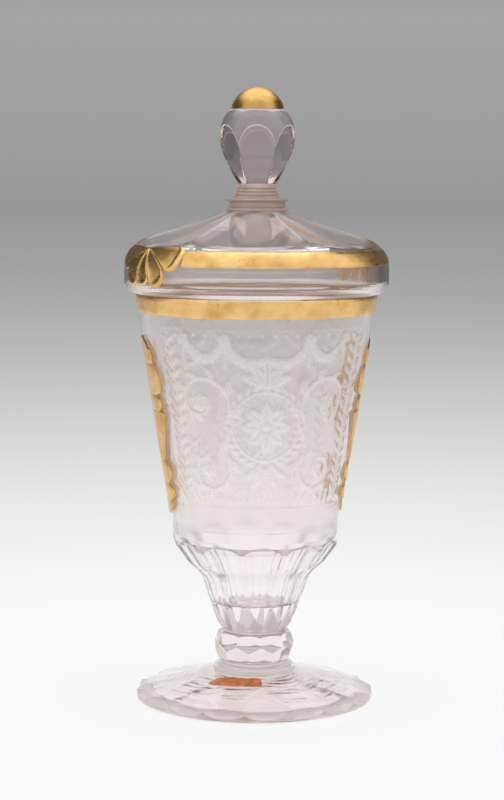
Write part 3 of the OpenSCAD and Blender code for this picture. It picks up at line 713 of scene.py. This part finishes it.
def make_lid():
    side_rows, petal_rows = 28, 26
    z0, z1 = RIM_Z - SINK, BOSS_Z + SINK
    outline = [(LID_MOUTH_R, z0), (LID_SEAT_R, z0), (43.7, RIM_Z)] + arc(EDGE_C, EDGE_ROUND, -90, 0, 16)
    first = len(outline)
    outline += [(51.0 - 0.7 * i, LID_C[1] + 0.4 * i) for i in range(side_rows + petal_rows + 1)]
    last = len(outline)
    # The roof follows the petals, then comes the inside of the shoulder and the ledge above the flange
    roof_r = (8, 11, 14, 17, 20, 24, 28, 32, 36, 39)
    outline += [(BOSS_R, z1), (0, z1), (0, 190.1), (4, 190.0)]
    outline += [(r, petal_z(r) - 4.4 + 2.3 * (r - 8) / 33.85) for r in roof_r]
    outline += arc(LID_C, 8.9, 72, 0, 14) + arc((45.5, 165.3), 2.5, 0, -90, 8)
    outline += [(41.4, 162.8), (LID_MOUTH_R, 162.2), (LID_MOUTH_R, z0)]
    lid = turned("lid_glass", outline, 360)
    row, column, r, z = rows_of(lid, outline, 360)
    lean = np.cos(np.radians((column + 10) % 60 - 30))
    edge = where_equal(lambda at: lid_body(at)[1], lambda at: petal_z(lid_body(at)[0] * lean),
                       np.zeros(len(r)), np.full(len(r), 30.0))
    k = row - first
    side, petal = (k >= 0) & (k <= side_rows), (k > side_rows) & (row < last)
    side_r, side_z = lid_body(edge * np.clip(k / side_rows, 0, 1))
    share = np.clip((k - side_rows) / petal_rows, 0, 1)
    petal_r = lid_body(edge)[0] * (1 - share) + 12.5 * share
    r = np.where(side, side_r, np.where(petal, petal_r, r))
    z = np.where(side, side_z, np.where(petal, np.minimum(petal_z(petal_r * lean), BOSS_Z), z))
    put_points(lid, turned_points(r, column, z))
    soften(lid, 5)
    ridge = np.clip(1.8 - np.abs((column - 20) % 60 - 30), 0, 1)
    roof = (row > last + 1) & (row < last + 15)
    ledge = (row > last + 15) & (z > 162.5) & (z < 163.4)
    under_boss = np.clip((13 - r) / 5, 0, 1)
    haze = np.where(petal, 0.1 + 0.2 * ridge, np.where(roof, 0.03 + 0.45 * under_boss, 0))
    mark(lid, "haze", np.where((row > 2) & (z < 161.5) & (k < side_rows), 0.22, haze))
    # Painted shade on the roof, most under the boss, and in lines along the petals' edges; a brown reflection of the
    # gilt band painted on the ledge
    darkened = np.where(roof, 0.08 + 0.15 * under_boss, 0.6 * ledge)
    mark(lid, "painted_darkening", np.where(np.abs(k - side_rows) < 2, 0.45, darkened))
    seat = (RIM_Z, LID_MOUTH_R, LID_SEAT_R)
    finish_piece(lid, "lid_dome", "lid", [lid_glass, lid_joint], [(BOSS_Z, 0, BOSS_R), seat])

    z1, low = RIM_Z + SINK, (39.7, 154.5)
    outline = [low] + arc((42.1, 155.0), 0.6, -90, -10, 4) + [(LID_SEAT_R, z1), (LID_MOUTH_R, z1), low]
    gather("flange_glass", "lid_flange", "lid", outline, 256, lid_glass, [seat], crisp=30)


# Finial: boss, thin disc and neck rings under a baluster with six tall arched facets
def make_finial():
    z0, z1 = BOSS_Z - SINK, DISC_Z + SINK
    outline = [(0, z0), (BOSS_R, z0)] + arc((11.6, 192.6), 0.5, -60, 70, 5) + arc((10.7, 194.0), 0.45, -80, 70, 5)
    outline += [(DISC_R, z1), (0, z1)]
    gather("boss_glass", "lid_boss", "lid", outline, 160, ring_glass, [(BOSS_Z, 0, BOSS_R), (DISC_Z, 0, DISC_R)])

    z0, z1 = DISC_Z - SINK, NECK_Z + SINK
    outline = [(0, z0), (DISC_R, z0), (11.4, 195.7), (12.3, 196.0)] + arc((12.35, 196.45), 0.45, -70, 70, 6)
    outline += [(11.2, 196.8), (9.4, 197.2), (8.9, z1), (NECK_R, z1), (0, z1)]
    gather("disc_glass", "finial_disc", "lid", outline, 160, ring_glass, [(DISC_Z, 0, DISC_R), (NECK_Z, 0, NECK_R)])

    z0, z1 = NECK_Z - SINK, FINIAL_Z + SINK
    outline = [(0, z0), (NECK_R, z0)]
    for thread in ((8.15, 198.5, 0.55), (7.6, 199.9, 0.5), (7.2, 201.2, 0.5)):
        outline += arc(thread[:2], thread[2], -70, 70, 6)
    outline += [(FINIAL_LOW_R, 202.0), (FINIAL_LOW_R, z1), (0, z1)]
    gather("neck_glass", "finial_neck", "lid", outline, 160, ring_glass,
           [(NECK_Z, 0, NECK_R), (FINIAL_Z, 0, FINIAL_LOW_R)])
    make_baluster()


def make_baluster():
    columns, facet_rows, shoulder_rows = 288, 40, 26
    z0, z1 = FINIAL_Z - SINK, CAP_Z
    widest = (14.6, 221.1)
    body = np.array(bow((FINIAL_LOW_R, FINIAL_Z), (14.6, 212.8), widest, 40)
                    + bow(widest, (14.6, 228.3), (CAP_R, CAP_Z), 40)[1:])
    line = np.array(bow((FINIAL_LOW_R * 0.866, FINIAL_Z), (12.3, 212.6), (14.4, 226.6), 60) + [(20, 229)])
    outline = [(0, z0), (FINIAL_LOW_R, z0)]
    outline += [(7.4 + i * 0.1, z0 + 0.3 + i * 0.5) for i in range(facet_rows + shoulder_rows - 1)]
    outline += [(CAP_R, z1), (0, z1)]
    finial = turned("finial_glass", outline, columns)
    row, column, r, z = rows_of(finial, outline, columns)
    from_edge = column - 23.75 + 30
    across = np.abs(from_edge % 60 - 30)
    deep = np.where(from_edge // 60 % 2 == 0, 1, -1)

    def facet(z):
        """Flat facets: every other one is ground deeper towards the neck, and runs out under its neighbours."""
        middle = np.interp(z, line[:, 1], line[:, 0])
        uneven = 0.07 * np.clip((214 - z) / 11, 0, 1)
        own = middle * (1 - deep * uneven) / np.cos(np.radians(across))
        next_one = middle * (1 + deep * uneven) / np.cos(np.radians(60 - across))
        return np.minimum(own, next_one)

    def round_body(z):
        return np.interp(z, body[:, 1], body[:, 0])

    arch = where_equal(facet, lambda z: round_body(z) + 1e-4, np.full(len(r), 204.0), np.full(len(r), 228.4))
    k = row - 1
    on_facet = (k >= 0) & (k <= facet_rows)
    above = (k > facet_rows) & (row < len(outline) - 1)
    z = np.where(on_facet, z0 + (arch - z0) * np.clip(k / facet_rows, 0, 1), z)
    z = np.where(above, arch + (z1 - arch) * np.clip((k - facet_rows) / shoulder_rows, 0, 1), z)
    r = np.where(on_facet, facet(z), np.where(above, round_body(z), r))
    arch_line = k == facet_rows
    put_points(finial, turned_points(r - 0.1 * arch_line, column, z))
    soften(finial, 8)
    # A pale haze painted along the arch as its highlight, and dark painted shade along the ridges between the facets
    mark(finial, "haze", np.where(arch_line, 0.55, np.where(row >= len(outline) - 4, 0.3, 0)))
    mark(finial, "painted_darkening", np.where(on_facet & (across > 29), 0.7, 0))
    finish_piece(finial, "finial", "lid", [finial_glass, lid_joint],
                 [(FINIAL_Z, 0, FINIAL_LOW_R), (CAP_Z, 0, CAP_R)])


# Gilding: bands, cap, leaves and shells. The back of each lies just inside the glass
GOLD_SINK = 0.06


def gilt_ring(name, node, body, front, back):
    """A band of gold with a lower edge that wavers, as brushed on by hand."""
    ring = turned(name, front + back[::-1] + front[:1], 288)
    p = points_of(ring)
    a = np.arctan2(p[:, 1], p[:, 0])
    low, high = p[:, 2].min(), p[:, 2].max()
    share = (p[:, 2] - low) / (high - low)
    waver = 0.10 * np.sin(7 * a + 1) + 0.08 * np.sin(13 * a + 2) + 0.05 * np.sin(29 * a)
    p[:, 2] += waver * np.where(share < 0.5, 1 - 2 * share, 0)
    put_points(ring, p)
    soften(ring, 50)
    finish_piece(ring, node, body, [gold])


def make_bands():
    low, high, rows = 152.8, 159.5, 10
    zs = [low + (high - low) * i / rows for i in range(rows + 1)]
    front = [(wall_r(z) + 0.3 * min(1, 6 * min(i, rows - i) / rows + 0.2), z) for i, z in enumerate(zs)]
    back = [(wall_r(z) - GOLD_SINK, z) for z in zs]
    gilt_ring("rim_band_gold", "gilt_rim_band", "goblet", front, back)

    arcs = []
    for start in (231.5, 51.5):
        band, u, v, front = plate("lid_band_gold", 160, 12)
        angle = start + 66.5 * (u + 1)
        lift = np.where(front, 0.32 * np.clip(5 * (1 - np.abs(v)), 0.15, 1), -GOLD_SINK)
        edge = 0.5 * np.sin(np.radians(9 * angle)) + 0.4 * np.sin(np.radians(23 * angle + 40))
        up = np.radians(26 + 15 * v + 0.4 * edge)
        r, z = LID_C[0] + (LID_ROUND + lift) * np.cos(up), LID_C[1] + (LID_ROUND + lift) * np.sin(up)
        put_points(band, turned_points(r, angle, z))
        arcs.append(close_up(band))
    deselect()
    for band in arcs:
        band.select_set(True)
    bpy.context.view_layer.objects.active = arcs[0]
    bpy.ops.object.join()
    soften(arcs[0], 50)
    finish_piece(arcs[0], "gilt_lid_band", "lid", [gold])

    shares = [1 - i / 24 for i in range(25)]
    outline = [(0, CAP_Z)] + [(10.3 * t, CAP_Z + (TOP_Z - CAP_Z) * (1 - t ** 2) ** 0.63) for t in shares]
    cap = turned("cap_gold", outline, 128)
    # Painted shade: the cap darker towards its lower edge
    mark(cap, "painted_gold_shade", np.clip(0.6 - 0.05 * (points_of(cap)[:, 2] - CAP_Z), 0.2, 1))
    soften(cap, 40)
    finish_piece(cap, "gilt_finial_cap", "lid", [gold])


# Carved leaves: half widths from the lower tip up, and the heights at which one lobe overlaps the next
LEAF_EDGE = np.array([
    (73.6, 0.3), (75, 4.5), (77.6, 8.6), (79.3, 8.2), (79.7, 7.6), (81.5, 12), (83, 13), (85, 11), (86.1, 8.4),
    (86.6, 8.6), (89, 12.4), (91, 13), (93.5, 11), (95.2, 8.6), (95.8, 8.4), (105, 12.2), (113.5, 16), (114.6, 16.4),
    (115.2, 12.4), (117, 14.4), (119.5, 13.6), (121, 11), (121.6, 12), (122.4, 15.4), (124.5, 16.4), (128, 16),
    (131.5, 13.4), (133.2, 11.4), (133.8, 11.6), (136.5, 12.4), (139, 10.4), (141.5, 6.6), (143.2, 2.2),
    (143.6, 0.3)])
LEAF_LOBES = np.array([73.6, 79.5, 86.3, 95.5, 114.9, 121.3, 133.5, 143.6])


def carved_leaf(name, node, turn):
    """An acanthus leaf: each lobe rises downwards and overhangs the next, with a ribbed stalk in the middle."""
    leaf, u, v, front = plate(name, 44, 260)
    half_length = (LEAF_LOBES[-1] - LEAF_LOBES[0]) / 2
    z = LEAF_LOBES[0] + half_length * (v + 1)
    half = np.interp(z, LEAF_EDGE[:, 0], LEAF_EDGE[:, 1])
    lobe = np.clip(np.searchsorted(LEAF_LOBES, z, side="right") - 1, 0, 6)
    low, high = LEAF_LOBES[lobe], LEAF_LOBES[lobe + 1]
    fall = (high - z) / (high - low)
    side = np.abs(u)
    stalk = lobe == 3
    edge = np.clip((side - 0.25) / 0.35, 0, 1) ** 1.5
    saw = 0.15 + 0.95 * np.sqrt(fall) * np.clip((z - low) / 0.6, 0.4, 1)
    flow = 0.75 + 0.25 * np.cos(side * np.where(stalk, 5.5, 2.2) * np.pi)
    height = (1 - edge) * flow + edge * np.where(stalk, flow, saw * (0.7 + 0.5 * side))
    height = 0.1 + 0.6 * height * np.clip((1 - side) * half / 0.8, 0, 1) ** 0.5
    # Painted shade: brown under each overhang, between the ribs of the stalk, along the edge and down the middle
    lobe_shade = 0.55 * edge * np.exp(-(fall * (high - low) / 2.2) ** 2) * ~stalk
    lobe_shade += stalk * 0.25 * (0.5 - 0.5 * np.cos(side * 5.5 * np.pi))
    lobe_shade = np.maximum(lobe_shade, 0.4 * np.exp(-((1 - side) * half / 0.35) ** 2))
    lobe_shade += 0.7 * np.exp(-(u * half / 0.6) ** 2) * (z > 97) * (z < 133)
    reach = wall_r(z) + np.where(front, height, -GOLD_SINK)
    angle = turn + np.degrees(u * half / wall_r(z))
    put_points(leaf, turned_points(reach, angle, z))
    mark(leaf, "painted_gold_shade", np.clip(lobe_shade, 0, 0.9))
    close_up(leaf)
    soften(leaf, 60)
    finish_piece(leaf, node, "goblet", [gold])


def lid_side(s):
    """Radius, height and outward direction on the lid at a length up its side from the top of the rolled edge."""
    upright = LID_C[1] - EDGE_C[1]
    low, high = np.minimum(s, 0) / EDGE_ROUND, np.maximum(s - upright, 0) / LID_ROUND
    up = np.where(s < 0, low, high)
    r = np.where(s < 0, EDGE_C[0] + EDGE_ROUND * np.cos(low), LID_C[0] + LID_ROUND * np.cos(high))
    over = np.where(s < upright, EDGE_C[1] + s, LID_C[1] + LID_ROUND * np.sin(high))
    z = np.where(s < 0, EDGE_C[1] + EDGE_ROUND * np.sin(low), over)
    return r, z, np.cos(up), np.sin(up)


# Carved shells: degrees at which one lobe meets the next, how far each reaches, and the top that they fan out from
SHELL_LOBES = np.array([-98.0, -62, -22, 22, 62, 98])
SHELL_REACH = np.array([20.5, 17.8, 14.9, 17.8, 20.5])
SHELL_TOP, SHELL_LIMIT = 13.9, 14.6


def carved_shell(name, node, turn):
    """A shell whose scooped lobes fan down from its top, each with a raised rim, and a side leaf along the band."""
    shell, u, v, front = plate(name, 60, 220)
    far, fan = (u + 1) / 2, SHELL_LOBES[-1] * v
    lobe = np.clip(np.searchsorted(SHELL_LOBES, fan, side="right") - 1, 0, 4)
    low, high = SHELL_LOBES[lobe], SHELL_LOBES[lobe + 1]
    x = (fan - (low + high) / 2) / ((high - low) / 2)
    reach = SHELL_REACH[lobe] * (1 - 0.22 * np.abs(x) ** 2.4)
    curl = 9 * np.sign(fan) * far ** 2 * np.clip(np.abs(fan) / 30, 0, 1) * (np.abs(fan) < 75)
    a = np.radians(fan - curl * 0.6)
    x_along, s = far * reach * np.sin(a), np.minimum(SHELL_TOP - far * reach * np.cos(a), SHELL_LIMIT)
    ridge = np.abs(x) ** 2.6
    crease = np.clip((1 - np.abs(x)) / 0.09, 0, 1)
    rim = np.exp(-((far - 0.92) / 0.06) ** 2)
    scoop = 0.25 + (0.85 * np.maximum(ridge, 0.75 * rim)) * np.clip(0.35 + far, 0, 1) * (0.3 + 0.7 * crease)
    height = 0.1 + 0.7 * scoop * np.clip((1 - far) / 0.035, 0, 1) ** 0.5
    # Painted shade in the creases between lobes and in the low parts of each scoop
    lobe_shade = 0.6 * (1 - crease) + 0.2 * (1 - np.maximum(ridge, rim)) * np.clip(far * 1.5, 0, 1)
    r, z, out, up = lid_side(s)
    lift = np.where(front, height, -GOLD_SINK)
    angle = turn + np.degrees(x_along / r)
    put_points(shell, turned_points(r + lift * out, angle, z + lift * up))
    mark(shell, "painted_gold_shade", np.clip(lobe_shade, 0, 0.85))
    close_up(shell)
    soften(shell, 60)
    finish_piece(shell, node, "lid", [gold])


def make_patch():
    """A strip of lacquer on the foot, with round ends and a swollen middle. Its edges look straight from in front."""
    patch, u, v, front = plate("lacquer_strip", 120, 16)
    middle, half_turn, half_width, camera_turn = 245.6, 27, 3.4, 264.25
    angle = middle + half_turn * u
    end = np.sqrt(np.clip(1 - np.clip((np.abs(u) - 0.88) / 0.12, 0, 1) ** 2, 0, 1))
    edge = 1 + 0.05 * np.sin(11 * u + 1) + 0.04 * np.sin(23 * u)
    r = 20.6 * 0.373 / (0.13 * np.cos(np.radians(angle - camera_turn)) + 0.243) + half_width * v * end * edge
    lift = np.where(front, 0.06 + 0.2 * np.clip(3 * (1 - np.abs(v)), 0, 1) ** 0.5 * end, -0.06)
    put_points(patch, turned_points(r, angle, cone_z(r) + lift))
    close_up(patch)
    soften(patch, 60)
    finish_piece(patch, "lacquer_patch", "goblet", [red_lacquer])


make_foot()
make_stem()
make_bowl()
make_lid()
make_finial()
make_bands()
carved_leaf("left_leaf_gold", "gilt_leaf_left", 180)
carved_leaf("right_leaf_gold", "gilt_leaf_right", 0)
carved_shell("front_shell_gold", "gilt_shell_front", 208)
carved_shell("back_shell_gold", "gilt_shell_back", 28)
make_patch()


# Studio: a pale floor that sweeps up into a grey backdrop, cards behind the glass, a bright room and soft lamps
def make_floor():
    deselect()
    bpy.ops.mesh.primitive_circle_add(vertices=96, radius=3, fill_type="NGON", location=(0, 0, -0.0002))
    floor = bpy.context.object
    floor.name = "studio_floor"
    bpy.ops.object.transform_apply(location=True)
    paint = Finish("pale_floor")
    far = paint.feed(paint.add("VectorMath", operation="LENGTH"), {0: paint.coords}).outputs["Value"]
    paint.feed(paint.shader, {"Base Color": (0.95, 0.95, 0.95, 1), "Roughness": 0.7, "Specular IOR Level": 0.1})
    # The floor glows as painted light: brightest in a disc under the foot, which lights the glass from below, and
    # greyer farther out. Near the foot part of it is lit, and keeps the goblet's shadow.
    greys = [(0.04, 1.0), (0.06, 0.945), (0.19, 0.945), (0.34, 0.885), (0.45, 0.84), (1, 0.8)]
    glow = paint.glow(paint.ramp(far, greys))
    glow_share = paint.ramp(far, [(0.02, 1.0), (0.03, 0.65), (0.06, 0.65), (0.24, 1.0)])
    floor.data.materials.append(paint.show(paint.mixed(glow_share, paint.shader.outputs["BSDF"], glow)))


def bent_sheet(name, outline, start, sweep, steps):
    """A sheet of the studio: an outline in millimetres, turned to its start and spun about the goblet's axis."""
    sheet = drawn(name, outline)
    bpy.ops.transform.rotate(value=math.radians(start), orient_axis="Z", center_override=(0, 0, 0))
    bpy.ops.mesh.spin(steps=steps, angle=math.radians(sweep), center=(0, 0, 0), axis=(0, 0, 1))
    bpy.ops.object.mode_set(mode="OBJECT")
    bpy.ops.object.transform_apply(location=True, rotation=True, scale=True)
    paper = Finish(name)
    paper.nodes.remove(paper.shader)
    place = paper.feed(paper.add("SeparateXYZ"), {"Vector": paper.coords})
    return sheet, paper, place.outputs


def make_backdrop():
    """A glowing paper sweep behind the goblet, open from its back, with the fall of light painted in: pale near the
    floor and grey above.
    """
    outline = arc((450, 200), 200, -90, 0, 24) + [(650, 400), (650, 900)]
    sweep, paper, place = bent_sheet("paper_sweep", outline, -20, -140, 70)
    bpy.ops.object.shade_smooth()
    greys = [(0, 0.835), (0.013, 0.765), (0.025, 0.716), (0.052, 0.610), (0.086, 0.490), (0.117, 0.403),
             (0.145, 0.354), (0.178, 0.313), (0.22, 0.334), (0.3075, 0.376), (0.38, 0.30), (0.9, 0.26)]
    # Above the lid the paper is grey to the eye alone, and lights the goblet as the rest of the room does
    unseen = paper.maths("SUBTRACT", 1.0, paper.add("LightPath").outputs["Is Camera Ray"])
    share = paper.maths("MULTIPLY", unseen, paper.spread(place["Z"], 0.0, 1.0, 0.17, 0.24))
    glow = paper.glow(paper.tinted(share, paper.ramp(place["Z"], greys), (0.92, 0.92, 0.92, 1)))
    back = paper.add("NewGeometry").outputs["Backfacing"]
    sweep.data.materials.append(paper.show(paper.mixed(back, glow, paper.clear())))


def make_card(name, radius, low, high, greys):
    """A glowing card bent round the back, which only the glass and the gold see: a painted reflection. Its greys run
    outwards from the middle.
    """
    card, paper, place = bent_sheet(name, [(radius, low), (radius, high)], 12, -204, 60)
    glow = paper.glow(paper.ramp(paper.maths("ABSOLUTE", place["X"], 0.0), greys))
    path = paper.add("LightPath").outputs
    share = paper.maths("MAXIMUM", path["Is Glossy Ray"], path["Is Transmission Ray"])
    card.data.materials.append(paper.show(paper.mixed(share, paper.clear(), glow)))


def make_world():
    world = bpy.data.worlds.new("studio_grey")
    bpy.context.scene.world = world
    world.use_nodes = True
    nodes, links = world.node_tree.nodes, world.node_tree.links
    split = nodes.new("ShaderNodeSeparateXYZ")
    links.new(nodes.new("ShaderNodeTexCoord").outputs["Generated"], split.inputs["Vector"])
    ramp = nodes.new("ShaderNodeValToRGB")
    fill_ramp(ramp, [(0, 0.85), (0.5, 0.8), (0.8, 0.8), (1, 0.9)])
    links.new(split.outputs["Z"], ramp.inputs["Fac"])
    links.new(ramp.outputs["Color"], nodes["Background"].inputs["Color"])
    nodes["Background"].inputs["Strength"].default_value = 1.0


def softbox(name, place, aim, size, power):
    deselect()
    bpy.ops.object.light_add(type="AREA", location=place)
    lamp = bpy.context.object
    lamp.name = name
    lamp.data.shape = "RECTANGLE"
    lamp.data.size, lamp.data.size_y = size
    lamp.data.energy = power
    lamp.rotation_euler = (Vector(aim) - Vector(place)).to_track_quat("-Z", "Y").to_euler()


def make_camera():
    """The photograph's angle: how far off, round and up the camera stands, and its own pitch, roll and yaw."""
    deselect()
    away, turn, up = 0.854, math.radians(-5.75), 0.210
    pitch, roll, yaw = math.radians(90 - 6.15), math.radians(-0.33), math.radians(-5.612)
    place = (away * math.sin(turn), -away * math.cos(turn), up)
    bpy.ops.object.camera_add(location=place, rotation=(pitch, roll, yaw))
    camera = bpy.context.object
    camera.data.lens = 98.41
    camera.data.sensor_width = 36
    bpy.context.scene.camera = camera


make_floor()
make_backdrop()
make_card("grey_card", 100, 157, 307, [(0, 0.31), (0.035, 0.30), (0.065, 0.16), (0.1, 0.07)])
make_card("white_card", 75, 1, 58, [(0, 0.93), (0.03, 0.93), (0.06, 0.90), (0.08, 0.85)])
make_world()
softbox("left_softbox", (-0.95, -0.65, 0.9), (0, 0, 0.12), (2.0, 2.0), 2.8)
softbox("right_softbox", (1.05, -0.5, 0.85), (0, 0, 0.12), (1.5, 1.5), 2)
softbox("top_softbox", (0.0, 0.2, 1.25), (0, 0, 0.1), (1.5, 1.5), 5.5)
make_camera()
scene = bpy.context.scene
scene.view_settings.view_transform = "Standard"
scene.cycles.max_bounces = 48
scene.cycles.transmission_bounces = 48
scene.cycles.glossy_bounces = 12
scene.cycles.transparent_max_bounces = 32
